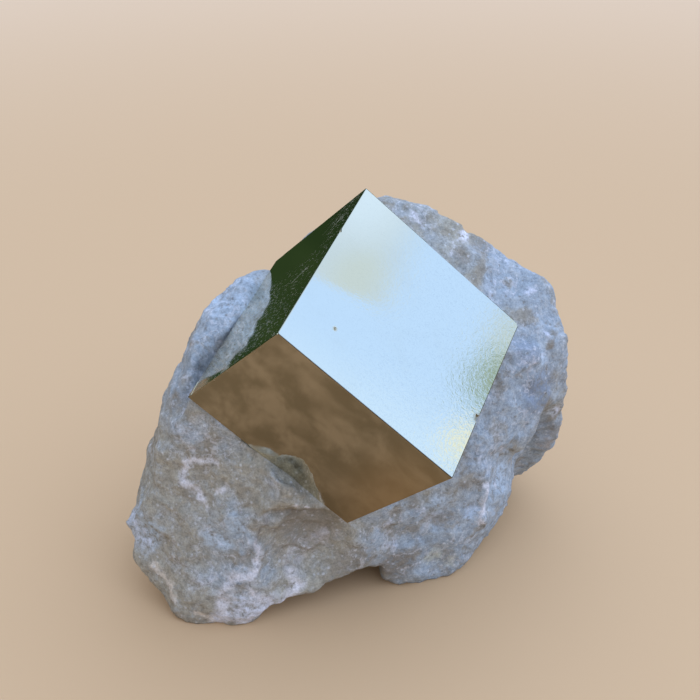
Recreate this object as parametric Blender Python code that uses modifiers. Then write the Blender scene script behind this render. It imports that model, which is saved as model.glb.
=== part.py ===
"""A bright pyrite crystal set in a broken lump of grey marl.

The stone starts as a few convex blocks, one for each mass that the broken lump
shows. They are fused, hollows are scooped out of them, the sharp arrises are
worn round, and the skin is roughened with low lumps and knobs. Then it is cut
flat where it rests, and a socket is cut for the crystal.

The crystal is a square-edged block, a little shorter one way, that leans on
one corner in its socket. It has a chipped edge, a blunted corner, a pit and a
few low growth steps.

Frame: +Z up, the open side of the stone faces -Y, and the origin is under the
middle of the specimen, on the surface that it rests on. Sizes and places are
in millimetres here, and become metres where a mesh is made.
"""

import math

import bmesh
import bpy
from mathutils import Matrix, Vector, noise

MM = 0.001
COLLECTION = "pyrite_on_matrix"
CUTTER_COLLECTION = "cutters"

# The crystal: its three edge lengths, its corner nearest the viewer, and the
# directions that its long and its wide edges take from that corner
CRYSTAL_LONG = 22.0
CRYSTAL_WIDE = 21.3
CRYSTAL_DEEP = 18.2
CRYSTAL_CORNER = Vector((-6.5, -21.1, 40.4))
ALONG_LONG = Vector((0.74, -0.093, -0.666))
ALONG_WIDE = Vector((0.384, 0.871, 0.305))
EDGE_BEVEL = 0.08

# Marks cut from the crystal, on its own axes: along the long edge and the wide
# edge from its nearest corner, and up from its top face. Each is a small block,
# given by its middle, its size and its turn in degrees
CRYSTAL_CUTS = {
    "chipped_edge": ((22.0, 7.7, 0.0), (0.8, 0.75, 0.7), 12),
    "pit": ((4.5, 4.7, 0.0), (0.3, 0.45, 0.25), 30),
    "side_step": ((0.0, 10.65, -14.8), (0.16, 22.0, 7.2), 0),
    "back_terrace": ((0.0, 20.6, -4.5), (0.24, 3.4, 9.4), 0),
    "flake": ((0.0, 17.2, -2.6), (0.2, 1.5, 1.1), 0),
    "back_step": ((12.5, 21.3, 0.0), (8.0, 0.3, 0.5), 0),
}
BLUNT_CORNER = 0.25

SOCKET_GAP = 0.3

# Corners of the stone's masses, before they are worn round
STONE_BLOCKS = {
    "back wall": (
        (-10, 8, 32.2), (-3.6, 10.5, 37.6), (3.5, 11, 40.5), (10, 10, 39.4), (15.3, 9, 37.5),
        (19, 9, 33.5), (3, 16, 37), (-14.5, 12.5, 21), (3, 20.5, 27), (18, 15.5, 22),
        (14, -1, 27), (4, 1, 33), (-15, 12.5, 5), (-12, 14.5, -1), (3, 20.5, -1),
        (16.5, 16.5, -1), (20.5, 12.5, 4), (0, 6, 0),
    ),
    "right end": (
        (18, 9.5, 34), (22.6, 7, 31.6), (25, 4, 26.8), (26.4, 3, 17.2), (26, 4.5, 13.2),
        (22.6, 9, 1.8), (18, -2, 24), (14, -1, 27), (22, 14, 9), (19, 15, 21), (9, 5, 4),
    ),
    "left shoulder": (
        (-8.9, 5.2, 35.1), (-10.8, 6.2, 33.7), (-13.4, 3.6, 31.9), (-14.5, 0.8, 31.6),
        (-15.3, -2.6, 31.1), (-16.7, -6.5, 29), (-18.2, -9.5, 26.3), (-18, -0.5, 27.9),
        (-20, -4, 24.9), (-20, -7, 24), (-26.2, -9.5, 10.2), (-16, 10, 24), (-21, 6, 14),
        (-18, 12, 4), (-14, 14, -1), (-20, 4, -1), (-8, 5, 30), (0, 5, 5),
    ),
    "front lobe": (
        (-26.2, -9.5, 10.2), (-24.5, -11, 5), (-20.5, -13.5, 2), (-18, -15.4, -1),
        (-11.2, -15.4, -1), (-9.2, -15.9, 11.5), (-7.4, -15.2, 17), (-9.6, -12.9, 21.7),
        (-16.8, -11.5, 27.8), (-6.5, -10, 16), (-10, 2, 20), (-18, 2, 2), (0, 0, 5),
    ),
    "lip": (
        (-9.1, -13.2, 21.6), (-8.4, -15.3, 21.5), (-6.7, -16.8, 20), (-6.3, -15.5, 17.3),
        (-4.8, -14.6, 16), (-3.3, -14.1, 15.9), (-8.6, -15.8, 14), (-8, -10, 15), (-3, -10, 12),
    ),
    "saddle": (
        (-6.4, -15.5, 17), (-3.3, -14.1, 15.9), (0.3, -12.6, 12), (4.5, -11.6, 7),
        (4, -11, 4.2), (-4.6, -13, 4.7), (-10.2, -15.2, 1.5), (-9, -15.4, 9), (0, 0, 5),
        (-8, 0, 12), (-2, -12, 15),
    ),
    "right foot": (
        (14, -5.5, 20), (15.5, -7, 12), (15.8, -7.2, 5), (11, -8.4, -1), (5, -8.2, -1),
        (19.4, -2, 8), (19.6, 1, 3), (5, -10.4, 12), (0.5, -12.2, 12), (3, -10.4, 4),
        (20, 2, 13), (0, 2, 5), (5, 6, 17), (17, 8, -1), (20.5, 8, 3.5),
    ),
    "right flank": (
        (14, -1, 28), (21, 0, 27.5), (23.6, 0, 20), (21, -1, 13), (15, -6, 17),
        (13.5, -5, 21), (10, 4, 14), (18, 6, 12),
    ),
    "core": (
        (-14, -8, 4), (0, -9.5, 3.5), (12, -4, 3), (15, 10, 2), (-12, 12, 2), (-15, -6, 24),
        (-8, 6, 31), (14, -1, 26), (10, 8, 33), (0, 9, 36), (0, -12, 12),
    ),
}

# Hollows scooped from the stone: the middle of the round scoop and its radius
SCOOPS = {
    "brown hollow": ((-3.0, -21.4, 9.0), 9.3),
    "left heel": ((-24.5, -16.5, 0.5), 5.0),
    "left waist": ((-33.2, -9.0, 19.6), 12.3),
    "right dimple": ((29.5, -9.5, 21.0), 8.4),
    "crest dip": ((20.0, 6.0, 42.5), 9.0),
    "rear hollow": ((-6.0, 30.0, 18.0), 13.0),
    "rear notch": ((13.0, 25.0, 9.0), 7.5),
}

# How the stone is worked: the grain of the fused mesh, and the rounding of its
# arrises
FUSE_GRAIN = 0.6
WEAR_PASSES = 4
WEAR_STRENGTH = 0.5

# Its relief: soft lumps, as (spacing, height) pairs, and flat-topped knobs that
# fall off where two of them meet
LUMPS = ((13.0, 0.8), (5.5, 0.4), (2.8, 0.2))
KNOB_SPACING = 4.2
KNOB_HEIGHT = 0.5
KNOB_SHOULDER = 0.6

# How many triangles it is thinned to, and the height that it is cut flat at
STONE_TRIANGLES = 7600
REST_LEVEL = 0.0

MATERIALS = {
    "marl": {"color": (0.33, 0.36, 0.39, 1), "roughness": 0.85, "metallic": 0.0},
    "pyrite": {"color": (0.80, 0.73, 0.56, 1), "roughness": 0.06, "metallic": 1.0},
}


def clear_scene():
    for obj in list(bpy.data.objects):
        bpy.data.objects.remove(obj)


def collection_named(name):
    collection = bpy.data.collections.new(name)
    bpy.context.scene.collection.children.link(collection)
    return collection


def object_from(bm, name, collection):
    """Turns a bmesh that is drawn in millimetres into an object in metres."""
    bm.transform(Matrix.Scale(MM, 4))
    mesh = bpy.data.meshes.new(name)
    bm.to_mesh(mesh)
    bm.free()
    obj = bpy.data.objects.new(name, mesh)
    collection.objects.link(obj)
    return obj


def as_cutter(obj):
    obj.hide_render = True
    obj.display_type = "WIRE"
    return obj


def box_into(bm, centre, size, turn=Matrix()):
    place = Matrix.Translation(centre) @ turn @ Matrix.Diagonal((*size, 1))
    bmesh.ops.create_cube(bm, size=1.0, matrix=place)


def add_boolean(obj, cutter, operation):
    modifier = obj.modifiers.new(cutter.name, "BOOLEAN")
    modifier.operation = operation
    modifier.solver = "EXACT"
    modifier.object = cutter


def baked(obj):
    """The object's mesh as its modifiers leave it, put in its place, and the modifiers taken off."""
    graph = bpy.context.evaluated_depsgraph_get()
    mesh = bpy.data.meshes.new_from_object(obj.evaluated_get(graph))
    obj.modifiers.clear()
    obj.data = mesh


def give_material(obj, name):
    looks = MATERIALS[name]
    material = bpy.data.materials.new(name)
    material.use_nodes = True
    shader = material.node_tree.nodes["Principled BSDF"]
    shader.inputs["Base Color"].default_value = looks["color"]
    shader.inputs["Roughness"].default_value = looks["roughness"]
    shader.inputs["Metallic"].default_value = looks["metallic"]
    material.diffuse_color = looks["color"]
    obj.data.materials.clear()
    obj.data.materials.append(material)


def crystal_place():
    """Where the crystal's nearest corner goes and how its own axes turn, in metres."""
    along = ALONG_LONG.normalized()
    across = (ALONG_WIDE - along * ALONG_WIDE.dot(along)).normalized()
    turn = Matrix((along, across, along.cross(across))).transposed().to_4x4()
    return Matrix.Translation(CRYSTAL_CORNER * MM) @ turn


def crystal_block(grown_by=0.0):
    """A bmesh of the plain block on its own axes, each face moved out by grown_by."""
    size = Vector((CRYSTAL_LONG, CRYSTAL_WIDE, CRYSTAL_DEEP))
    middle = Vector((CRYSTAL_LONG / 2, CRYSTAL_WIDE / 2, -CRYSTAL_DEEP / 2))
    bm = bmesh.new()
    box_into(bm, middle, size + Vector((2, 2, 2)) * grown_by)
    return bm


def blunt_far_corner(bm):
    """Cuts off the corner at the far end of the long and the wide edge."""
    outward = Vector((1, 1, 1)).normalized()
    corner = Vector((CRYSTAL_LONG, CRYSTAL_WIDE, 0))
    made = bmesh.ops.bisect_plane(
        bm, geom=bm.verts[:] + bm.edges[:] + bm.faces[:],
        plane_co=corner - outward * BLUNT_CORNER, plane_no=outward, clear_outer=True,
    )
    rim = [item for item in made["geom_cut"] if isinstance(item, bmesh.types.BMEdge)]
    bmesh.ops.contextual_create(bm, geom=rim)


def make_crystal(collection, cutters):
    bm = crystal_block()
    bmesh.ops.bevel(
        bm, geom=bm.edges[:], offset=EDGE_BEVEL, offset_type="OFFSET", segments=1,
        profile=0.5, affect="EDGES", material=-1,
    )
    blunt_far_corner(bm)
    crystal = object_from(bm, "pyrite_crystal", collection)
    crystal.matrix_basis = crystal_place()
    for name, (middle, size, turned) in CRYSTAL_CUTS.items():
        bm = bmesh.new()
        box_into(bm, middle, size, Matrix.Rotation(math.radians(turned), 4, (1, 1, 1)))
        cutter = as_cutter(object_from(bm, name, cutters))
        cutter.matrix_basis = crystal_place()
        add_boolean(crystal, cutter, "DIFFERENCE")
    give_material(crystal, "pyrite")
    return crystal


def stone_masses():
    """A bmesh of the stone's blocks, each the convex hull of its corners."""
    bm = bmesh.new()
    for corners in STONE_BLOCKS.values():
        points = [bm.verts.new(corner) for corner in corners]
        made = bmesh.ops.convex_hull(bm, input=points)
        inside = [item for item in made["geom_interior"] if isinstance(item, bmesh.types.BMVert)]
        bmesh.ops.delete(bm, geom=inside, context="VERTS")
    return bm


def scoop_cutter(cutters):
    bm = bmesh.new()
    for middle, radius in SCOOPS.values():
        bmesh.ops.create_icosphere(
            bm, subdivisions=4, radius=radius, matrix=Matrix.Translation(middle)
        )
    return as_cutter(object_from(bm, "scoops", cutters))


def relief(point):
    """How far the stone's skin stands proud at a point, in millimetres."""
    height = sum(noise.noise(point / spacing) * rise for spacing, rise in LUMPS)
    nearest, second = noise.voronoi(point / KNOB_SPACING)[0][:2]
    return height + KNOB_HEIGHT * (min(second - nearest, KNOB_SHOULDER) - KNOB_SHOULDER / 2)


def roughen(obj):
    bm = bmesh.new()
    bm.from_mesh(obj.data)
    bm.normal_update()
    moves = [vert.normal * relief(vert.co / MM) * MM for vert in bm.verts]
    for vert, move in zip(bm.verts, moves):
        vert.co += move
    bm.to_mesh(obj.data)
    bm.free()


def cut_flat(obj):
    """Cuts the stone off level, so that it rests on real flat patches."""
    bm = bmesh.new()
    bm.from_mesh(obj.data)
    everything = bm.verts[:] + bm.edges[:] + bm.faces[:]
    made = bmesh.ops.bisect_plane(
        bm, geom=everything, plane_co=(0, 0, REST_LEVEL * MM), plane_no=(0, 0, 1),
        clear_inner=True,
    )
    rim = [item for item in made["geom_cut"] if isinstance(item, bmesh.types.BMEdge)]
    bmesh.ops.holes_fill(bm, edges=rim, sides=0)
    bmesh.ops.triangulate(bm, faces=[face for face in bm.faces if len(face.verts) > 3])
    bmesh.ops.recalc_face_normals(bm, faces=bm.faces)
    bm.to_mesh(obj.data)
    bm.free()


def make_stone(collection, cutters):
    stone = object_from(stone_masses(), "matrix_stone", collection)
    for step in ("fuse", "fuse again"):
        fuse = stone.modifiers.new(step, "REMESH")
        fuse.mode = "VOXEL"
        fuse.voxel_size = FUSE_GRAIN * MM
        if step == "fuse":
            add_boolean(stone, scoop_cutter(cutters), "DIFFERENCE")
    wear = stone.modifiers.new("wear", "SMOOTH")
    wear.factor = WEAR_STRENGTH
    wear.iterations = WEAR_PASSES
    baked(stone)
    roughen(stone)
    thin = stone.modifiers.new("thin", "DECIMATE")
    thin.ratio = STONE_TRIANGLES / (2 * len(stone.data.polygons))
    baked(stone)
    cut_flat(stone)
    socket = as_cutter(object_from(crystal_block(SOCKET_GAP), "socket", cutters))
    socket.matrix_basis = crystal_place()
    add_boolean(stone, socket, "DIFFERENCE")
    give_material(stone, "marl")
    return stone


def points_of(obj):
    """The points of the object's finished mesh, where they stand."""
    bpy.context.view_layer.update()
    finished = obj.evaluated_get(bpy.context.evaluated_depsgraph_get())
    return [finished.matrix_world @ vert.co for vert in finished.data.vertices]


def stand_over_origin(parts, cutters):
    """Carries every object on one empty, so that the origin is under the middle of the specimen."""
    points = [point for part in parts for point in points_of(part)]
    low = Vector([min(point[axis] for point in points) for axis in range(3)])
    high = Vector([max(point[axis] for point in points) for axis in range(3)])
    carrier = bpy.data.objects.new("specimen", None)
    carrier.location = (-(low.x + high.x) / 2, -(low.y + high.y) / 2, -low.z)
    parts[0].users_collection[0].objects.link(carrier)
    for obj in (*parts, *cutters.objects):
        obj.parent = carrier
    print("origin moved by", [round(value / MM, 3) for value in carrier.location], "mm")


def main():
    clear_scene()
    collection = collection_named(COLLECTION)
    cutters = collection_named(CUTTER_COLLECTION)
    parts = [make_stone(collection, cutters), make_crystal(collection, cutters)]
    stand_over_origin(parts, cutters)


main()
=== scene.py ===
# %% [markdown]
# # A pyrite crystal on its matrix
#
# A bright, square-edged pyrite crystal sits half out of a broken lump of light
# grey marl. Two very different surfaces meet here: a metal mirror, which shows
# its surroundings more than itself, and a dry, chalky stone, which shows only
# its own grain and stains. This lesson builds both, then the light they need.
#
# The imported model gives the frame. Each piece made here takes the place of one
# of its solids, in the same coordinates, so nothing has to be fitted by eye.

import math

import bmesh
import bpy
import numpy as np
from mathutils import Matrix, Vector, noise


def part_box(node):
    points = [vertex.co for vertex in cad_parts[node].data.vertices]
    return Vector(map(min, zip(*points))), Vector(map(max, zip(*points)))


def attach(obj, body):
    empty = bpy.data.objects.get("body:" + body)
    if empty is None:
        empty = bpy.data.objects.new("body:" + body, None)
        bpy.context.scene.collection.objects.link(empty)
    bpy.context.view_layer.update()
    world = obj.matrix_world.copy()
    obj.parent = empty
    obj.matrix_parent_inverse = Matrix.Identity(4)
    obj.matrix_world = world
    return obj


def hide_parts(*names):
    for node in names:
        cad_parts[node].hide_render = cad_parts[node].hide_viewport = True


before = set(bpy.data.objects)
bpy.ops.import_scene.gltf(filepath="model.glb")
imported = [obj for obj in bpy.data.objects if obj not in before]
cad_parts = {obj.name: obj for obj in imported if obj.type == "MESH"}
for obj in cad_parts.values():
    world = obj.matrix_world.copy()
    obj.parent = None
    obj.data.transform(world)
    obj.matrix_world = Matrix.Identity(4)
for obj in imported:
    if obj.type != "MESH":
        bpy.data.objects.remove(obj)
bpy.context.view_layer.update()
MM = 0.001
print("nodes", sorted(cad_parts))

# %% [markdown]
# ## Small helpers for meshes
#
# A bmesh is Blender's mesh in a form that a script can cut, bevel and weld. One
# helper turns it into an object, and another bakes an object's modifiers, so
# that a finished piece is a plain mesh that sits at the origin. The sizes are
# drawn in millimetres, because that is how one thinks about a thing this small,
# and become metres in one place only.


# %% From a bmesh to an object
def object_from(bm, name, shade_smooth=False):
    """Turns a bmesh drawn in millimetres into an object in metres."""
    bm.transform(Matrix.Scale(MM, 4))
    mesh = bpy.data.meshes.new(name)
    bm.to_mesh(mesh)
    bm.free()
    for face in mesh.polygons:
        face.use_smooth = shade_smooth
    obj = bpy.data.objects.new(name, mesh)
    bpy.context.scene.collection.objects.link(obj)
    return obj


def bake_modifiers(obj):
    """Puts what the modifiers make into the object's own mesh, and takes them off."""
    graph = bpy.context.evaluated_depsgraph_get()
    mesh = bpy.data.meshes.new_from_object(obj.evaluated_get(graph))
    obj.modifiers.clear()
    obj.data = mesh
    return len(mesh.polygons)


# %% [markdown]
# ## The crystal
#
# Pyrite of this kind grows as a block with right angles so exact that it looks
# machined. It isn't quite a cube: this one is 22 mm by 21.3 mm on its broad face
# and 18.2 mm deep. Its edges are keen, but no real edge is perfectly sharp, and
# the thin line of light along an edge comes from that last tenth of a
# millimetre. So the block is a cube with a very small rounded bevel.
#
# It is built on its own three axes, with the corner nearest the viewer at zero,
# and is turned into place at the end. Its marks are cut with small boxes on the
# same axes, which is far easier than cutting them where the crystal leans.

# %% The block and its bevel
LONG, WIDE, DEEP = 22.0, 21.3, 18.2
EDGE = 0.1
CORNER = Vector((-6.5, -21.1, 40.4))
ALONG = Vector((0.74, -0.093, -0.666)).normalized()
ACROSS = Vector((0.384, 0.871, 0.305))
ACROSS = (ACROSS - ALONG * ACROSS.dot(ALONG)).normalized()
UPWARD = ALONG.cross(ACROSS)


def box_into(bm, middle, size, turn=Matrix()):
    place = Matrix.Translation(middle) @ turn @ Matrix.Diagonal((*size, 1))
    return bmesh.ops.create_cube(bm, size=1.0, matrix=place)


bm = bmesh.new()
box_into(bm, (LONG / 2, WIDE / 2, -DEEP / 2), (LONG, WIDE, DEEP))
bmesh.ops.bevel(
    bm, geom=bm.edges[:], offset=EDGE, offset_type="OFFSET", segments=3,
    profile=0.5, affect="EDGES", material=-1,
)
print("bevelled block:", len(bm.faces), "faces")

# %% [markdown]
# One corner of the crystal is a little blunt. A plane cuts it off, and the hole
# it leaves is filled with a single face.

# %% The blunt corner
BLUNT = 0.25
outward = Vector((1, 1, 1)).normalized()
cut = bmesh.ops.bisect_plane(
    bm, geom=bm.verts[:] + bm.edges[:] + bm.faces[:],
    plane_co=Vector((LONG, WIDE, 0)) - outward * BLUNT, plane_no=outward, clear_outer=True,
)
cut_edges = [item for item in cut["geom_cut"] if isinstance(item, bmesh.types.BMEdge)]
bmesh.ops.contextual_create(bm, geom=cut_edges)
crystal = object_from(bm, "pyrite_block")

# %% [markdown]
# ## Its growth marks
#
# Look closely and the mirror isn't perfect: there is a chip in one edge, a pit,
# and low steps where a layer of the crystal stopped growing. Each is taken out
# with a small box and a Boolean. They could be painted on as bump, but a real
# step breaks the reflection with a clean line, which bump blurs. Each mark has
# its middle, its size, its turn in degrees and the axis of the turn.

# %% Cutting the marks
DIAGONAL, SIDEWAYS = (1, 1, 1), (1, 0, 0)
MARKS = {
    "chipped edge": ((22.0, 7.7, 0.0), (0.8, 0.75, 0.7), 12, DIAGONAL),
    "pit": ((4.5, 4.7, 0.0), (0.2, 0.34, 0.12), 30, DIAGONAL),
    "side step": ((0.0, 8.65, -16.35), (0.06, 30.0, 7.2), -17, SIDEWAYS),
    "thin step": ((0.0, 8.8, -15.8), (0.03, 30.0, 7.2), -17, SIDEWAYS),
    "back step": ((12.5, 21.3, 0.0), (8.0, 0.3, 0.5), 0, SIDEWAYS),
    "corner chip": ((-0.05, -0.05, 0.0), (0.34, 0.34, 0.34), 20, DIAGONAL),
    "far chip": ((0.0, 14.6, 0.0), (0.3, 0.5, 0.22), 35, DIAGONAL),
}
cutters = []
for name, (middle, size, degrees, axis) in MARKS.items():
    bm = bmesh.new()
    box_into(bm, middle, size, Matrix.Rotation(math.radians(degrees), 4, axis))
    cutters.append(object_from(bm, name))
    modifier = crystal.modifiers.new(name, "BOOLEAN")
    modifier.operation = "DIFFERENCE"
    modifier.solver = "EXACT"
    modifier.object = cutters[-1]
print("crystal with its marks:", bake_modifiers(crystal), "faces")
for cutter in cutters:
    bpy.data.objects.remove(cutter)

# %% [markdown]
# The crystal is turned to the way it leans, and slid until it fills the box of
# the solid it stands for. The same slide carries everything else that was
# measured with the crystal, such as the camera.

# %% Into place
turn = Matrix((ALONG, ACROSS, UPWARD)).transposed().to_4x4()
crystal.data.transform(Matrix.Translation(CORNER * MM) @ turn)
points = np.array([vert.co for vert in crystal.data.vertices])
cad_crystal = np.array(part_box("pyrite_crystal"))
slide = Vector((cad_crystal.mean(axis=0) - (points.min(axis=0) + points.max(axis=0)) / 2).tolist()) / MM
crystal.data.transform(Matrix.Translation(slide * MM))
corner = CORNER + slide
print("slide in mm", [round(v, 3) for v in slide])

# %% [markdown]
# ## The stone
#
# The marl has broken away round the crystal and left a lump with a saddle, two
# feet and a high back wall. The solid already has those masses, so the stone
# starts from a copy of it, welded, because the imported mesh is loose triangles.
# A voxel remesh turns its few large faces into one even skin, fine enough to
# carve, and a little smoothing takes the machined look off its edges.

# %% Welding the copy
SKIN_STEP = 0.27
bm = bmesh.new()
bm.from_mesh(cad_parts["matrix_stone"].data)
bmesh.ops.remove_doubles(bm, verts=bm.verts, dist=1e-6)
bm.transform(Matrix.Scale(1 / MM, 4))
stone = object_from(bm, "marl_lump")
fuse = stone.modifiers.new("fuse", "REMESH")
fuse.mode = "VOXEL"
fuse.voxel_size = SKIN_STEP * MM
soften = stone.modifiers.new("soften", "SMOOTH")
soften.factor = 0.5
soften.iterations = 3
print("stone after the remesh:", bake_modifiers(stone), "faces")

# %% [markdown]
# ## Closing the socket
#
# In the solid the crystal sits in a socket with a hair of clearance. Real
# crystal and stone have no gap: one grew inside the other. So every point of the
# stone that is close to the crystal's block is drawn to just inside it. The pull
# reaches 1.6 mm where the stone hugs the crystal, below it and beside it, and
# less in front of the faces that show.

# %% Drawing the socket in
AXES = np.array([ALONG, ACROSS, UPWARD])
BLOCK_LOW, BLOCK_HIGH, INSIDE = np.array([0, 0, -DEEP]), np.array([LONG, WIDE, 0]), 0.15
OPEN_REACH, HUGGED_REACH, FULL_PULL = 0.9, 1.6, 0.5
spots = np.array([vert.co for vert in stone.data.vertices]) / MM
local = (spots - np.array(corner)) @ AXES.T
gaps = np.linalg.norm(local - np.clip(local, BLOCK_LOW, BLOCK_HIGH), axis=1)
in_front = (local[:, 1] < 0) | (local[:, 2] > 0)
reach = np.where(in_front, OPEN_REACH, HUGGED_REACH)
pull = np.clip((reach - gaps) / (reach - FULL_PULL), 0, 1)[:, None]
local += (np.clip(local, BLOCK_LOW + INSIDE, BLOCK_HIGH - INSIDE) - local) * pull
spots = local @ AXES + np.array(corner)
stone.data.vertices.foreach_set("co", (spots * MM).ravel())
print("points drawn to the crystal:", int((pull > 0.99).sum()))

# %% [markdown]
# ## Carving the skin
#
# Marl breaks with shallow hollows, like thumb prints, that meet in crisp crests.
# A Voronoi pattern gives that shape: the height is the square of the distance to
# the nearest cell's centre, so that each cell is a hollow and the crests are
# where two cells meet. A tilt for each cell keeps the hollows from looking alike.
# Softer lumps, small pits and a grain are noises of their own sizes. Blender's
# `noise_vector` takes its offsets from the clock unless a seed is set, so one is
# set first, and the stone comes out the same each time.
#
# Bump in the material could fake the smallest ones, but not their outline
# against the light, so only the finest grain is left to it. Two things hold the
# relief back: it fades towards the crystal, so that no stone pokes through a
# mirror face, and it stays inside the solid's box.


# %% Relief of the broken stone
noise.seed_set(1)


def hollows(point, size):
    """Shallow hollows of about a size, with crests between them, in millimetres."""
    distances, centres = noise.voronoi(point / size)
    heights = []
    for distance, centre in zip(distances, centres):
        tilt = noise.cell_vector(centre * 9) - Vector((0.5, 0.5, 0.5))
        heights.append(0.5 * distance * distance + tilt.dot(point / size - centre))
    return size * min(heights)


def relief(point):
    """How far the skin moves out at a point, all in millimetres."""
    bent = point + 0.5 * noise.noise_vector(point / 1.9)
    broken = 0.24 * hollows(bent, 4.2) + 0.20 * hollows(bent + Vector((5, 1, 8)), 1.7)
    lumps = 0.14 * noise.noise(point / 3.1) + 0.10 * noise.noise(point / 1.2 + Vector((9, 4, 2)))
    grain = 0.12 * noise.noise(point / 0.6)
    pits = -0.45 * max(noise.noise(point / 1.1 + Vector((3, 17, 5))) - 0.4, 0)
    return min(max(broken, -0.4), 0.3) + lumps + grain + pits - 0.06


# %% [markdown]
# A few crests belong to one place on this stone: the step down into the brown
# hollow under the crystal, the rim below that hollow, the overhanging lip above
# it, and an upright rib on the right foot. The shoulder is filled out where it
# meets the crystal's left face. They are given as paths of points on the stone,
# with the height to raise, or to cut where it is below zero, and the width.

# %% Crests that have a place
CRESTS = {
    "step": (
        [(-8.8, -14.3, 16.7), (-10.3, -14.1, 13.9), (-11.5, -14.5, 11.0), (-12.6, -14.8, 8.1)], 0.35, 0.9,
    ),
    "lip": ([(-8.8, -14.3, 16.7), (-7.7, -14.6, 17.6), (-6.4, -14.5, 17.1), (-3.3, -12.8, 14.9)], 0.3, 0.8),
    "rim": ([(-2.8, -10.7, 10.2), (-4.4, -10.8, 8.7), (-6.8, -11.7, 7.4), (-5.8, -12.2, 4.8)], 0.4, 0.9),
    "rib": ([(14.8, -5.0, 14.9), (15.2, -5.3, 12.8), (14.9, -5.8, 9.6), (15.5, -5.0, 5.3)], 0.35, 1.0),
    "crevice": ([(-7.5, -13.9, 19.6), (-4.7, -13.7, 16.3)], -0.4, 0.6),
    "under lip": ([(-8.3, -14.0, 15.3), (-6.4, -13.6, 15.2), (-3.6, -12.5, 13.4)], -1.15, 1.9),
    "beside step": ([(-8.7, -13.8, 14.6), (-9.6, -13.9, 12.4), (-10.9, -14.2, 9.4)], -0.85, 1.4),
    "shoulder": (
        [
            (-14.1, -3.0, 27.6), (-13.5, -1.8, 28.8), (-12.7, -0.6, 30.0), (-12.0, 1.1, 31.8),
            (-11.3, 2.5, 33.3),
        ], 0.7, 2.4,
    ),
    "foot ridge": ([(4.2, -9.2, 10.2), (7.6, -8.2, 11.1), (9.7, -7.6, 11.3)], 0.3, 0.9),
    "back rib": ([(-2.0, 17.5, 31.0), (-6.0, 18.0, 21.0), (-8.0, 17.5, 10.0)], 0.35, 1.2),
}


def gap_to_path(spots, path):
    """How far each spot is from a path of straight stretches."""
    nearest = np.full(len(spots), 1e9)
    for start, end in zip(path, path[1:]):
        step = np.subtract(end, start)
        share = np.clip((spots - start) @ step / (step @ step), 0, 1)
        nearest = np.minimum(nearest, np.linalg.norm(spots - start - share[:, None] * step, axis=1))
    return nearest


# %% Moving the skin
bm = bmesh.new()
bm.from_mesh(stone.data)
bm.normal_update()
wavy = spots + np.array([0.4 * noise.noise_vector(Vector(spot) / 1.3) for spot in spots])
raised = np.zeros(len(spots))
for path, height, width in CRESTS.values():
    raised += height * np.clip(1 - gap_to_path(wavy, path) / width, 0, 1) ** 1.5
moves = np.array([relief(Vector(spot)) for spot in spots]) + raised
moves *= np.clip((gaps - 0.4) / 0.6, 0, 1)
cad_stone = np.array(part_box("matrix_stone")) / MM
places = spots + np.array([vert.normal for vert in bm.verts]) * moves[:, None]
places = np.clip(places, cad_stone[0], cad_stone[1])
bm.free()
stone.data.vertices.foreach_set("co", (places * MM).ravel())
stone.data.update()
print("carved", len(places), "points, by", moves.min().round(2), "to", moves.max().round(2), "mm")

# %% [markdown]
# The flat walls of the socket need none of those small faces, and nobody sees
# them. A Decimate modifier merges faces where that changes the shape least,
# which is there, so the carved skin keeps its detail.

# %% Thinning the hidden walls
MOST_TRIANGLES = 196000
thin = stone.modifiers.new("thin", "DECIMATE")
thin.ratio = min(1.0, MOST_TRIANGLES / (2 * len(stone.data.polygons)))
bake_modifiers(stone)
for face in stone.data.polygons:
    face.use_smooth = True
print("stone:", sum(len(face.vertices) - 2 for face in stone.data.polygons), "triangles")

# %% [markdown]
# ## Writing materials as sums
#
# A material is a graph of small nodes. Drawn by hand it soon turns into a web,
# so here it is written as Python. `Wire` wraps a node's output, and +, -, * and
# so on between wires add the Math nodes. `Recipe.node` makes any other node:
# its type, its settings, and then what goes into its sockets.
#
# Clamps are left off in Map Range, and written as a minimum and a maximum in
# `line_gap`. The smooth step stays between 0 and 1 by itself, and the renderer
# puts every clamp off until later and has to hold its value. With this many
# masks its room runs out, and then the whole material renders black.


# %% Wires and recipes
class Wire:
    """The output of a node. Arithmetic on it adds Math nodes."""

    def __init__(self, recipe, socket):
        self.recipe = recipe
        self.socket = socket

    def maths(self, operation, first, second=0.0):
        return self.recipe.node("ShaderNodeMath", {"operation": operation}, {0: first, 1: second})

    def __add__(self, other):
        return self.maths("ADD", self, other)

    def __radd__(self, other):
        return self.maths("ADD", other, self)

    def __sub__(self, other):
        return self.maths("SUBTRACT", self, other)

    def __rsub__(self, other):
        return self.maths("SUBTRACT", other, self)

    def __mul__(self, other):
        return self.maths("MULTIPLY", self, other)

    def __rmul__(self, other):
        return self.maths("MULTIPLY", other, self)

    def __truediv__(self, other):
        return self.maths("DIVIDE", self, other)

    def __abs__(self):
        return self.maths("ABSOLUTE", self)


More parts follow.
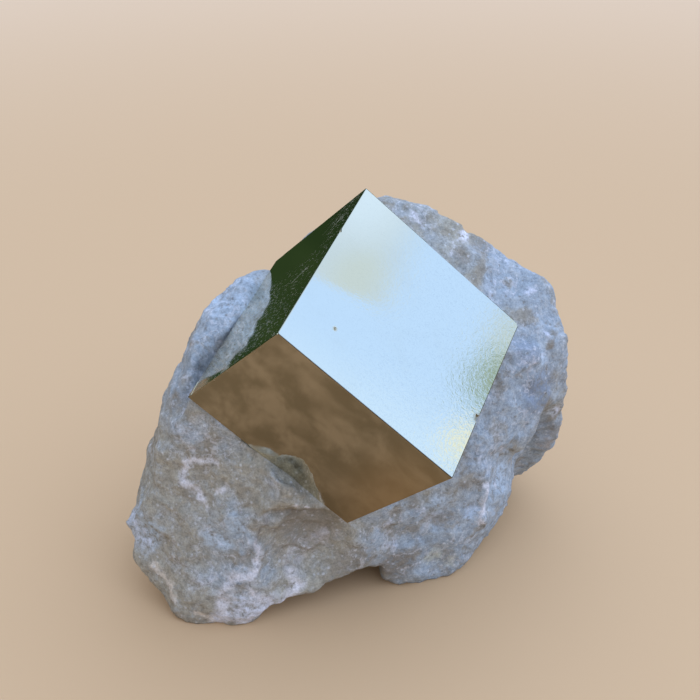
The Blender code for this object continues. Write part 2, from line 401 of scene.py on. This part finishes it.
class Recipe:
    """A node tree that is written from the top down."""

    def __init__(self, tree):
        self.tree = tree

    def node(self, kind, settings=None, inputs=None, output=0):
        made = self.tree.nodes.new(kind)
        for name, value in (settings or {}).items():
            setattr(made, name, value)
        for name, value in (inputs or {}).items():
            if isinstance(value, Wire):
                self.tree.links.new(value.socket, made.inputs[name])
            else:
                made.inputs[name].default_value = value
        return Wire(self, made.outputs[output])

    def vector(self, operation, first, second=(0, 0, 0), output=0):
        return self.node("ShaderNodeVectorMath", {"operation": operation}, {0: first, 1: second}, output)

    def stretched(self, vector, amount):
        return self.node("ShaderNodeVectorMath", {"operation": "SCALE"}, {0: vector, 3: amount})

    def dot(self, first, second):
        return self.vector("DOT_PRODUCT", first, second, 1)

    def mix(self, factor, first, second, blend="MIX"):
        settings = {"data_type": "RGBA", "blend_type": blend, "clamp_factor": True}
        return self.node("ShaderNodeMix", settings, {0: factor, 6: first, 7: second}, 2)

    def fade(self, value, low, high):
        """0 below low and 1 above high, with a soft way between. With low above high it falls."""
        settings = {"interpolation_type": "SMOOTHSTEP", "clamp": False}
        if low > high:
            return self.node("ShaderNodeMapRange", settings, {0: value, 1: high, 2: low, 3: 1.0, 4: 0.0})
        return self.node("ShaderNodeMapRange", settings, {0: value, 1: low, 2: high})

    def cloud(self, place, size, detail=3.0, roughness=0.55, distortion=0.0, output=0):
        """Noise whose blotches are about size millimetres across."""
        values = {
            "Vector": place, "Scale": 1 / size, "Detail": detail,
            "Roughness": roughness, "Distortion": distortion,
        }
        return self.node("ShaderNodeTexNoise", {}, values, output)

    def close_to(self, place, middle, radius, core=0.35):
        """1 round a middle point, falling to 0 at the radius."""
        distance = self.vector("DISTANCE", place, middle, 1)
        return self.fade(distance, radius, radius * core)

    def line_gap(self, place, start, end):
        """How far a place is from the straight stretch between two points."""
        start, end = Vector(start), Vector(end)
        step = end - start
        local = self.vector("SUBTRACT", place, start)
        share = self.dot(local, step) / step.length_squared
        share = share.maths("MINIMUM", share.maths("MAXIMUM", share, 0.0), 1.0)
        return self.vector("DISTANCE", local, self.stretched(step, share), 1)

    def along_path(self, place, path, width, core=0.2):
        """1 on a path of straight stretches, falling to 0 at the width."""
        gap = self.line_gap(place, path[0], path[1])
        for start, end in zip(path[1:], path[2:]):
            gap = gap.maths("MINIMUM", gap, self.line_gap(place, start, end))
        return self.fade(gap, width, width * core)


def new_finish(name):
    """A material, its recipe and its shader."""
    material = bpy.data.materials.new(name)
    material.use_nodes = True
    return material, Recipe(material.node_tree), material.node_tree.nodes["Principled BSDF"]


def feed(shader, name, value):
    """Links a wire to a shader's socket, or sets a constant on it."""
    if isinstance(value, Wire):
        value.recipe.tree.links.new(value.socket, shader.inputs[name])
    else:
        shader.inputs[name].default_value = value


# %% [markdown]
# ## The pyrite's finish
#
# Pyrite is an opaque mineral with a metal's lustre, so the shader is fully
# metallic and its base colour is what it mirrors straight on: a pale brass. The
# finish has to know which face it is on, because each face of a crystal grows
# its own texture. So the place is first written on the crystal's own axes.
#
# - The broad top face has a faint crinkle, finer than a hair.
# - The left face is frosted with tiny specks, thickest along its upper edge, and
#   clouded by fine scratches at its far end. One strip of it stayed clean.
# - The front face is the smoothest, with a few dull smudges.

# %% Pyrite
pyrite, recipe, shader = new_finish("pyrite")
where = recipe.node("ShaderNodeTexCoord", output=3)
where = recipe.stretched(where, 1 / MM)
local = recipe.vector("SUBTRACT", where, corner)
along, across, upward = (recipe.dot(local, axis) for axis in (ALONG, ACROSS, UPWARD))
lattice = recipe.node("ShaderNodeCombineXYZ", {}, {0: along, 1: across, 2: upward})

on_top = recipe.fade(upward, -0.12, -0.02)
on_left = recipe.fade(along, 0.3, 0.15) * (1 - on_top)
on_front = recipe.fade(across, 0.12, 0.02) * (1 - on_top)
print("pyrite knows its faces:", len(pyrite.node_tree.nodes), "nodes so far")

# %% [markdown]
# The crinkle is noise that has been stretched and bent, so that it runs in short wandering lines, faint on
# the left and stronger towards the right. Where the noise crosses its middle value the colour is made a
# little darker: painted shade in the fine creases. All heights are tiny: a mirror doubles every slope, so
# half a degree already shows.

# %% Crinkle and creases
bent = recipe.stretched(recipe.cloud(lattice, 3.0, output=1), 1.4)
crinkle = recipe.cloud(recipe.vector("ADD", lattice, bent), 0.42, 2.0, 0.6, 0.6)
crease_shade = recipe.fade(abs(crinkle - 0.5), 0.035, 0.0)
swell = recipe.cloud(lattice, 4.5, 1.0)
wrinkled = recipe.fade(along, 3.0, 13.0)
top_height = crinkle * (0.0009 + 0.0042 * wrinkled) + swell * 0.001
left_height = crinkle * 0.0012
front_height = swell * 0.002 + crinkle * 0.0003

# %% [markdown]
# The specks are rough spots rather than dents. A rough spot on a mirror gathers
# light from the whole sky, so in a face that mirrors something dark it shows as
# a pale dot. A Voronoi pattern, drawn out down the face, gives the dots, and a
# coarser noise decides which of them are there. The scratches are a noise
# stretched thirty degrees off the edge.

# %% Specks, scratches and smudges
drawn_out = recipe.vector("MULTIPLY", lattice, (1, 1, 0.42))
dots = recipe.node("ShaderNodeTexVoronoi", {}, {"Vector": drawn_out, "Scale": 4.6, "Randomness": 1.0})
dot_pick = recipe.cloud(lattice, 0.8, 3.0, 0.65)
clean_strip = recipe.fade(across, 12.0, 16.5) * recipe.fade(upward, -3.2, -5.2)
specks = recipe.fade(dots, 0.5, 0.15) * recipe.fade(dot_pick, 0.38, 0.56) * (1 - 0.92 * clean_strip)

scratch_place = recipe.node(
    "ShaderNodeCombineXYZ", {},
    {0: along, 1: recipe.dot(lattice, (0, 0.6, 0.8)) * 0.22, 2: recipe.dot(lattice, (0, 0.8, -0.6)) * 2.2},
)
scratches = recipe.fade(recipe.cloud(scratch_place, 0.55, 3.0, 0.6), 0.55, 0.68)
clouded = recipe.close_to(lattice, (0, 19.4, -3.2), 4.2, 0.2)
dash = recipe.along_path(lattice, [(0, 10.2, -5.7), (0, 11.3, -3.7)], 0.2)
edge_glints = recipe.along_path(lattice, [(0, 0.25, -9.7), (0, 0.3, -11.0)], 0.3)
frosted = specks * 0.5 + clouded * (0.1 + 0.55 * scratches) + 0.5 * dash.maths("MAXIMUM", dash, edge_glints)
chipped = recipe.close_to(lattice, (22.0, 7.7, 0.0), 0.8, 0.6)
broken = chipped.maths("MAXIMUM", chipped, recipe.close_to(lattice, (4.5, 4.7, -0.05), 0.34, 0.6))
smudge = recipe.fade(recipe.cloud(lattice, 5.0, 4.0, 0.6, 0.4), 0.45, 0.75)
print("pyrite, frosted:", len(pyrite.node_tree.nodes), "nodes")

# %% Pyrite's shader
height = on_top * top_height + on_left * left_height + on_front * front_height
bump = recipe.node("ShaderNodeBump", {}, {"Strength": 1.0, "Distance": MM, "Height": height})
dull = 0.025 + on_front * (0.015 + 0.05 * smudge) + on_left * (0.02 + frosted) + 0.5 * broken
colour = recipe.mix(smudge * 0.3, (0.76, 0.68, 0.50, 1), (0.71, 0.62, 0.44, 1))
# Painted shade: the top face is made darker along its fine creases.
colour = recipe.mix(crease_shade * on_top * (0.1 + 0.2 * wrinkled), colour, (0.52, 0.48, 0.38, 1))
feed(shader, "Base Color", colour)
feed(shader, "Metallic", 1.0)
feed(shader, "Roughness", dull)
feed(shader, "Normal", bump)
crystal.data.materials.clear()
crystal.data.materials.append(pyrite)
print("pyrite:", len(pyrite.node_tree.nodes), "nodes")

# %% [markdown]
# ## The marl's finish
#
# Marl is lime mud turned to stone: grey, a little bluer where it is fresh and
# browner where water has stained it, and whitish where calcite fills its cracks
# or dust lies on it. No single noise looks like that, so the finish is built up
# as a geologist would describe it: body colour, stains, powder, veins, grain.
# The contrasts stay low. A pale stone is spoilt sooner by strong blotches than
# by too few of them.
#
# Some of these marks belong to one place on this stone. Those are given by
# points in millimetres on the stone, and a bent copy of the coordinates makes
# their outlines ragged. Away from them, noise places marks of the same kinds.

# %% Marl: body colour
marl, recipe, shader = new_finish("marl")
where = recipe.stretched(recipe.node("ShaderNodeTexCoord", output=3), 1 / MM)
wander = recipe.vector("SUBTRACT", recipe.cloud(where, 1.5, 5.0, 0.65, output=1), (0.5, 0.5, 0.5))
ragged = recipe.vector("ADD", where, recipe.stretched(wander, 2.2))

broad = recipe.cloud(where, 9.0, 4.0, 0.55)
blotch = recipe.cloud(where, 2.6, 5.0, 0.62, 0.3)
fleck = recipe.cloud(where, 0.7, 4.0, 0.68)
grit = recipe.cloud(where, 0.22, 2.0, 0.8)

GREY = (0.325, 0.302, 0.245, 1)
BLUE = (0.302, 0.345, 0.382, 1)
BROWN = (0.265, 0.235, 0.185, 1)
PALE = (0.40, 0.41, 0.405, 1)
rightward = recipe.node("ShaderNodeSeparateXYZ", {}, {0: where}, 0)
height = recipe.node("ShaderNodeSeparateXYZ", {}, {0: where}, 2)
# Painted light: the right half and the top of the left shoulder are pushed towards blue, for the cool sky
# light that falls there.
right_half_sky_tint = recipe.fade(rightward, -1.0, 9.0) * (1 - 0.8 * recipe.fade(height, 32, 38))
shoulder_sky_tint = recipe.fade(height, 24, 29) * recipe.fade(rightward, -4, -9)
sky_tint = right_half_sky_tint.maths("MAXIMUM", right_half_sky_tint, shoulder_sky_tint)
colour = recipe.mix(recipe.fade(broad + 0.3 * blotch + 0.25 * sky_tint, 0.62, 0.92), GREY, BLUE)
colour = recipe.mix(recipe.fade(blotch, 0.5, 0.36) * 0.65, colour, BROWN)
crumb = recipe.cloud(where, 1.3, 6.0, 0.75, 0.2)
colour = recipe.mix(recipe.fade(crumb, 0.5, 0.6) * 0.42, colour, PALE)

# %% Marl: stains, fresh places and painted shade
TINTED = {
    # Brown stains. The small patch just under the lip is painted shade under the overhang, and the large
    # one in the hollow below it is partly painted shade.
    "iron_and_shade": ((0.215, 0.19, 0.155, 1), [
        ((-4.6, -12.5, 11.5), 5.0, 0.75), ((-6.2, -13.4, 14.6), 1.8, 0.8), ((-17.4, -11.8, 16.1), 1.1, 0.7),
        ((14.7, 9.6, 35.4), 1.9, 0.7), ((12.5, 7.2, 35.2), 1.7, 0.7), ((22.4, 3.0, 26.0), 0.9, 0.8),
        ((12.5, -6.5, 13.2), 1.0, 0.8),
        ((6.9, -8.4, 12.3), 1.2, 0.7), ((13.5, -6.3, 10.4), 0.9, 0.7), ((10.2, -7.4, 9.5), 1.8, 0.7),
        ((5.2, -8.6, 4.2), 3.0, 0.8), ((-18.2, -7.9, 25.6), 3.0, 0.5), ((-6.0, 19.0, 12.0), 4.0, 0.5),
        ((-1.5, -11.0, 4.5), 2.6, 0.5), ((0.5, -10.3, 6.5), 3.0, 0.45), ((4.5, -9.0, 2.8), 3.2, 0.6),
    ]),
    # Painted shade: darker blue-grey on the right wall and the right end, where they face away from the
    # light.
    "slate_shade": ((0.19, 0.225, 0.28, 1), [
        ((21.3, 0.8, 21.0), 3.8, 0.85), ((19.8, 0.9, 26.6), 2.8, 0.6), ((23.3, 5.1, 13.1), 2.8, 0.5),
    ]),
    "rust": ((0.30, 0.235, 0.19, 1), [((23.6, 6.2, 10.4), 1.8, 0.4), ((4.0, 20.0, 24.0), 3.0, 0.5)]),
    "fresh": ((0.38, 0.45, 0.52, 1), [
        ((17.3, -2.5, 11.6), 3.0, 0.9), ((13.6, -6.2, 4.9), 1.2, 0.8), ((21.5, 1.9, 24.9), 1.1, 0.8),
        ((9.7, -7.6, 11.3), 2.2, 0.6), ((-14.6, -13.5, 11.4), 2.4, 0.6), ((-12.4, -13.8, 13.6), 1.8, 0.7),
        ((-13.4, 2.4, 33.0), 5.0, 0.85), ((-23.0, -9.8, 9.8), 3.6, 0.95), ((12.0, 18.0, 14.0), 3.0, 0.6),
    ]),
    "ice": ((0.40, 0.50, 0.63, 1), [((13.6, -6.3, 9.6), 1.3, 0.8)]),
    "green": ((0.44, 0.455, 0.39, 1), [((9.3, -7.3, 4.0), 1.6, 0.7), ((11.4, -6.8, 2.4), 1.4, 0.7)]),
}
for tint, places in TINTED.values():
    for middle, radius, strength in places:
        spread = recipe.close_to(ragged, middle, radius) * recipe.fade(fleck, 0.3, 0.55)
        colour = recipe.mix(spread * strength, colour, tint)
print("marl, tinted:", len(marl.node_tree.nodes), "nodes")

# %% [markdown]
# The powder is a thin pale film, lilac-white, that catches on raised grains, so
# its mask is multiplied by a finer noise. The calcite veins are the brightest
# marks. They follow cracks, so they are drawn as paths between points, and
# hair-thin ones run everywhere else: they lie where a noise crosses its middle
# value, which is always a thin wandering line.

# %% Marl: powder
POWDERED = [
    ((12.9, 9.5, 36.7), 1.1), ((16.1, 6.4, 32.2), 0.5), ((20.2, 6.4, 31.1), 0.9), ((20.9, 6.9, 31.6), 0.5),
    ((22.1, 3.5, 26.9), 0.8), ((24.1, 4.3, 16.3), 1.3), ((8.1, 9.4, 38.1), 0.8), ((-24.4, -8.4, 10.3), 2.4),
    ((-23.4, -9.6, 8.6), 2.4), ((4.2, -9.2, 10.2), 0.9), ((7.6, -8.2, 11.1), 0.8), ((4.7, -9.1, 6.9), 1.1),
    ((-8.6, -15.2, 19.5), 1.2), ((-12.0, -14.9, 2.8), 3.4), ((0.0, 21.0, 20.0), 3.0),
    ((-21.0, 3.0, 14.0), 2.5),
]
powder = recipe.fade(recipe.cloud(where, 4.6, 5.0, 0.62, 0.5), 0.56, 0.74) * 0.7
for middle, radius in POWDERED:
    powder = powder.maths("MAXIMUM", powder, recipe.close_to(ragged, middle, radius, 0.2))
powder = powder * recipe.fade(fleck, 0.36, 0.6)
colour = recipe.mix(powder * 0.68, colour, (0.54, 0.56, 0.64, 1))

# %% Marl: veins
VEINS = [
    (
        [
            (-17.9, -11.4, 17.3), (-18.1, -10.9, 18.5), (-17.4, -11.0, 19.8), (-16.1, -11.2, 20.0),
            (-14.3, -11.6, 20.0),
        ], 0.6,
    ),
    ([(-17.9, -11.4, 17.3), (-16.6, -11.7, 16.8), (-16.3, -12.0, 15.5), (-15.7, -12.2, 14.8)], 0.55),
    ([(-14.1, -12.2, 16.7), (-13.3, -12.3, 17.5)], 0.5),
    ([(-10.1, -14.6, 11.9), (-9.9, -14.2, 9.8), (-10.3, -14.6, 8.2), (-10.7, -15.0, 7.0)], 0.55),
    (
        [
            (-11.2, -15.0, 7.6), (-12.8, -15.0, 7.2), (-13.9, -14.8, 5.1), (-14.4, -14.7, 2.3),
            (-14.8, -14.3, 0.7),
        ], 1.0,
    ),
    ([(-11.1, -15.0, 5.7), (-10.6, -14.9, 4.4), (-9.1, -14.1, 3.1)], 0.6),
    ([(-6.8, -12.4, 5.8), (-5.9, -12.6, 4.3), (-8.0, -13.8, 1.8), (-12.0, -14.6, 0.9)], 1.0),
    ([(15.2, -5.3, 12.8), (14.9, -5.8, 9.6), (14.8, -6.1, 7.6)], 0.5),
    ([(16.8, -2.7, 12.3), (16.8, -3.1, 10.8)], 0.5),
    ([(-8.6, -14.3, 16.9), (-6.6, -14.5, 17.0), (-4.6, -13.6, 15.8)], 0.32),
    ([(6.9, 10.2, 38.9), (8.1, 9.4, 38.1)], 0.4),
    ([(13.1, 10.2, 36.8), (11.0, 7.1, 35.4)], 0.45),
    ([(2.0, 20.5, 30.0), (-6.0, 18.0, 20.0), (-9.0, 17.0, 9.0)], 0.7),
    ([(12.0, 19.0, 18.0), (17.0, 16.0, 8.0)], 0.6),
    ([(-20.0, 0.0, 22.0), (-23.0, -2.0, 14.0), (-22.0, 2.0, 6.0)], 0.6),
]
veins = 0.0
for path, width in VEINS:
    vein = recipe.along_path(ragged, path, width * 1.25, 0.1)
    veins = vein if veins == 0.0 else vein.maths("MAXIMUM", veins, vein)
veins = veins * recipe.fade(fleck + 0.3 * crumb, 0.42, 0.6)
hairs = recipe.fade(abs(recipe.cloud(ragged, 2.8, 2.0) - 0.5), 0.022, 0.004) * recipe.fade(broad, 0.44, 0.6)
veins = veins.maths("MAXIMUM", veins * 0.85, hairs * 0.35)
colour = recipe.mix(veins, colour, (0.63, 0.62, 0.65, 1))
# Painted shade: a dark brown band under the overhanging lip, and a weaker one beside the step below it.
lip_path = [(-8.3, -14.4, 15.2), (-6.5, -14.1, 15.4), (-5.0, -13.4, 14.8), (-3.6, -12.3, 13.8)]
step_path = [(-8.6, -14.3, 15.0), (-9.8, -14.2, 12.8), (-10.6, -14.4, 11.0)]
lip_shade_band = recipe.along_path(ragged, lip_path, 1.3, 0.1)
step_shade_band = recipe.along_path(ragged, step_path, 0.8, 0.1)
painted_lip_shade = lip_shade_band.maths("MAXIMUM", lip_shade_band * 0.6, step_shade_band * 0.45)
colour = recipe.mix(painted_lip_shade, colour, (0.165, 0.14, 0.115, 1))
rosy = recipe.along_path(ragged, [(-2.8, -10.7, 10.2), (-4.4, -10.8, 8.7), (-6.8, -11.7, 7.4)], 1.8, 0.1)
colour = recipe.mix(rosy * recipe.fade(crumb, 0.4, 0.56) * 0.4, colour, (0.50, 0.455, 0.45, 1))
chalk = recipe.along_path(ragged, [(-14.6, -14.6, 1.2), (-12.0, -14.6, 1.6), (-9.4, -14.1, 2.8)], 2.3, 0.1)
colour = recipe.mix(chalk * recipe.fade(crumb, 0.42, 0.56) * 0.75, colour, (0.60, 0.61, 0.67, 1))
cream = recipe.along_path(ragged, [(-22.0, -11.2, 5.9), (-20.3, -12.6, 4.7), (-19.7, -13.2, 2.9)], 0.75)
low_cream = recipe.along_path(ragged, [(-17.1, -14.4, 1.7), (-15.6, -14.3, 0.9)], 0.8)
colour = recipe.mix(cream.maths("MAXIMUM", cream, low_cream) * 0.7, colour, (0.62, 0.55, 0.47, 1))
print("marl, veined:", len(marl.node_tree.nodes), "nodes")

# %% [markdown]
# Last comes the grain. Close up, the stone is a packing of pale and dark grains,
# a quarter of a millimetre across. Each Voronoi cell has a random colour, and
# its first part serves as a die: high throws are pale grains and low ones dark.

# %% Marl: grain and the shader
cells = {"Vector": where, "Scale": 1.9, "Randomness": 1.0}
cell_gap = recipe.node("ShaderNodeTexVoronoi", {}, cells)
die = recipe.node("ShaderNodeSeparateXYZ", {}, {0: recipe.node("ShaderNodeTexVoronoi", {}, cells, 1)})
pale_grains = recipe.fade(cell_gap, 0.45, 0.15) * recipe.fade(die, 0.76, 0.84)
dark_grains = recipe.fade(cell_gap, 0.45, 0.15) * recipe.fade(die, 0.2, 0.12)
colour = recipe.mix(pale_grains * 0.5, colour, (0.56, 0.565, 0.58, 1))
colour = recipe.mix(dark_grains * 0.5, colour, (0.19, 0.17, 0.14, 1))
shade = 0.97 + 1.1 * (fleck - 0.5) + 0.9 * (grit - 0.5)
shades = recipe.node("ShaderNodeCombineXYZ", {}, {0: shade, 1: shade, 2: shade})
colour = recipe.vector("MULTIPLY", colour, shades)
grain = fleck * 0.17 + grit * 0.05 + pale_grains * 0.02 + crumb * 0.1
feed(shader, "Base Color", colour)
feed(shader, "Roughness", 0.9)
feed(shader, "Specular IOR Level", 0.2)
bump = recipe.node("ShaderNodeBump", {}, {"Strength": 0.8, "Distance": MM, "Height": grain})
feed(shader, "Normal", bump)
stone.data.materials.clear()
stone.data.materials.append(marl)
print("marl:", len(marl.node_tree.nodes), "nodes")

# %% [markdown]
# ## The stage
#
# The floor is a pale disc, painted lighter from 9 cm out to 42 cm: a painted falloff of the light away from
# the stone. It has an inner disc and a ring round it, of one material. Mirrors see only the inner disc: a
# crystal on a small stand mirrors the stand's near part and then whatever is beyond it, and that dark
# surround is what makes its side face read as polished metal.
#
# The front face leans over the floor and mirrors it from a hand's breadth away. Mirrored, a plain floor
# would look like paint, so rays that come from a mirror see a mottled brown one instead, much darker than
# the floor itself: painted shade of the floor close under the stone, with a painted orange spot near the
# front. The Light Path node tells those rays apart. Nothing of this is on the crystal: it only mirrors what
# it stands on.

# %% Floor
NEAR, FAR = 0.1, 3.0
floor_finish, recipe, shader = new_finish("floor")
where = recipe.stretched(recipe.node("ShaderNodeTexCoord", output=3), 1 / MM)
mottle = recipe.cloud(recipe.vector("MULTIPLY", where, (0.45, 1, 1)), 3.4, 6.0, 0.66, 0.3)
# Painted shade and reflection: the dark brown floor that only mirrors see, with an orange spot near the
# front.
mirrored_shaded_floor = recipe.mix(recipe.fade(mottle, 0.38, 0.64), (0.17, 0.108, 0.054, 1), (0.28, 0.182, 0.102, 1))
mirrored_orange_spot = recipe.close_to(where, (-2.0, -19.0, 0.0), 11.0, 0.1)
mirrored_shaded_floor = recipe.mix(mirrored_orange_spot * 0.6, mirrored_shaded_floor, (0.28, 0.145, 0.055, 1))
mirrored = recipe.node("ShaderNodeLightPath", output=3)
# Painted light: the floor's colour grows lighter from 9 cm out to 42 cm.
painted_falloff = recipe.fade(recipe.vector("LENGTH", where, output=1), 90, 420)
pale = recipe.mix(painted_falloff, (0.56, 0.37, 0.205, 1), (0.68, 0.49, 0.32, 1))
feed(shader, "Base Color", recipe.mix(mirrored, pale, mirrored_shaded_floor))
feed(shader, "Roughness", 0.85)
feed(shader, "Specular IOR Level", 0.2)

bm = bmesh.new()
bmesh.ops.create_circle(bm, cap_ends=True, segments=128, radius=NEAR / MM)
floor_near = object_from(bm, "floor_near")
bm = bmesh.new()
bmesh.ops.create_circle(bm, cap_ends=False, segments=128, radius=NEAR / MM)
grown = bmesh.ops.extrude_edge_only(bm, edges=bm.edges[:])["geom"]
outer = [item for item in grown if isinstance(item, bmesh.types.BMVert)]
bmesh.ops.scale(bm, verts=outer, vec=(FAR / NEAR, FAR / NEAR, 1))
bmesh.ops.recalc_face_normals(bm, faces=bm.faces[:])
floor_far = object_from(bm, "floor_far")
for floor in (floor_near, floor_far):
    floor.data.materials.append(floor_finish)
floor_far.visible_glossy = False
print("floor out to", FAR, "m")

# %% [markdown]
# ## The light
#
# All the light comes from a soft dome: bright and slightly cool overhead, dim
# and warmer at the horizon, and a little stronger on the right. It casts the
# faint, wide shadows of an overcast day.
#
# What the mirror faces show is a second dome, which only reflections see: pale
# sky above, dark green from the horizon down, and a soft skyline between them.
# A higher skyline behind and a dark patch on the viewer's side put the thin dark
# lines on the crystal's edges. The camera itself sees a plain backdrop.

# %% Dome of light
world = bpy.data.worlds.new("soft dome")
bpy.context.scene.world = world
world.use_nodes = True
world.node_tree.nodes.clear()
recipe = Recipe(world.node_tree)
heading = recipe.node("ShaderNodeTexCoord", output=0)
rise = recipe.node("ShaderNodeSeparateXYZ", {}, {0: heading}, 2)
side = recipe.node("ShaderNodeSeparateXYZ", {}, {0: heading}, 0)

upper = recipe.fade(rise + 0.35 * side, -0.1, 0.95)
light = recipe.mix(upper, (0.63, 0.56, 0.445, 1), (1.27, 1.57, 2.2, 1))
light = recipe.stretched(light, 1.03 + 0.27 * side)


def toward(azimuth, elevation):
    """The direction at an azimuth, clockwise from straight away, and a height over the horizon."""
    azimuth, elevation = math.radians(azimuth), math.radians(elevation)
    flat = math.cos(elevation)
    return (math.sin(azimuth) * flat, math.cos(azimuth) * flat, math.sin(elevation))


def patch(azimuth, elevation, radius, core=0.3):
    """A soft round patch of the dome, with its radius in degrees."""
    distance = recipe.vector("DISTANCE", heading, toward(azimuth, elevation), 1)
    edge = math.radians(radius)
    return recipe.fade(distance, edge, edge * core)


def short_of(azimuth):
    """Above zero where a direction's azimuth is less than this one."""
    angle = math.radians(azimuth)
    return recipe.dot(heading, (-math.cos(angle), math.sin(angle), 0))


# %% Dome that the mirrors see
ruffle = recipe.node(
    "ShaderNodeTexNoise", {}, {"Vector": heading, "Scale": 5.0, "Detail": 3.0, "Roughness": 0.6}
)
dark = recipe.mix(recipe.fade(ruffle, 0.35, 0.7), (0.010, 0.026, 0.009, 1), (0.036, 0.066, 0.024, 1))
haze = recipe.fade(short_of(81.0), 0.02, -0.06)
sky = recipe.mix(haze, (0.678, 1.073, 1.946, 1), (0.80, 1.19, 1.96, 1))
cream = recipe.fade(short_of(77.9), -0.002, 0.006) * recipe.fade(rise, 0.505, 0.55)
sky = recipe.mix(cream, sky, (0.734, 1.01, 1.49, 1))
sky = recipe.mix(cream * patch(77.0, 33.0, 2.4) * 0.6, sky, (0.74, 0.96, 1.18, 1))
sky = recipe.mix(patch(71.5, 35.0, 4.0, 0.2), sky, (0.86, 1.20, 1.86, 1))
higher = 0.5 * recipe.fade(recipe.dot(heading, toward(-25, 15)), 0.35, 0.85)
viewer = recipe.fade(recipe.dot(heading, toward(158, 8)), 0.55, 0.85)
skyline = rise + 0.05 * (ruffle - 0.5) - higher
seen = recipe.mix(recipe.fade(skyline, 0.33, 0.44), dark, sky)
seen = recipe.mix(patch(76.0, 24.8, 2.4), seen, (0.70, 0.95, 1.29, 1))
seen = recipe.mix(patch(78.6, 24.9, 2.4, 0.1) * 0.95, seen, (0.38, 0.55, 0.50, 1))
seen = recipe.mix(patch(82.3, 25.0, 1.5, 0.3) * 0.8, seen, (1.1, 1.25, 1.2, 1))
seen = recipe.mix(viewer, seen, (0.035, 0.016, 0.012, 1))

by_camera = recipe.node("ShaderNodeLightPath", output=0)
by_mirror = recipe.node("ShaderNodeLightPath", output=3)
shown = recipe.mix(by_mirror, light, seen)
shown = recipe.mix(by_camera, shown, (0.80, 0.76, 0.71, 1))
background = recipe.node("ShaderNodeBackground", {}, {"Color": shown, "Strength": 1.0})
output = world.node_tree.nodes.new("ShaderNodeOutputWorld")
world.node_tree.links.new(background.socket, output.inputs["Surface"])
print("dome:", len(world.node_tree.nodes), "nodes")

# %% [markdown]
# ## The camera
#
# The camera looks down at 30 degrees from about 11 cm away, as a phone held
# close would. Its place is measured from the crystal's nearest corner.

# %% Camera
camera = bpy.data.objects.new("camera", bpy.data.cameras.new("camera"))
camera.data.lens = 59.55
camera.data.sensor_width = 36
camera.data.clip_start = 0.002
camera.data.clip_end = 20
camera.location = (corner + Vector((6.54, -91.15, 50.88))) * MM
camera.rotation_euler = (math.radians(60), 0, 0)
bpy.context.scene.collection.objects.link(camera)
bpy.context.scene.camera = camera
bpy.context.scene.view_settings.view_transform = "Standard"

# %% [markdown]
# ## Onto the frame
#
# Each piece rides on the one rigid body, and the solid that it stands for is hidden.

# %% Riding on the frame
for piece, node, slot in ((crystal, "pyrite_crystal", "pyrite"), (stone, "matrix_stone", "marl")):
    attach(piece, "root")
    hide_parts(node)
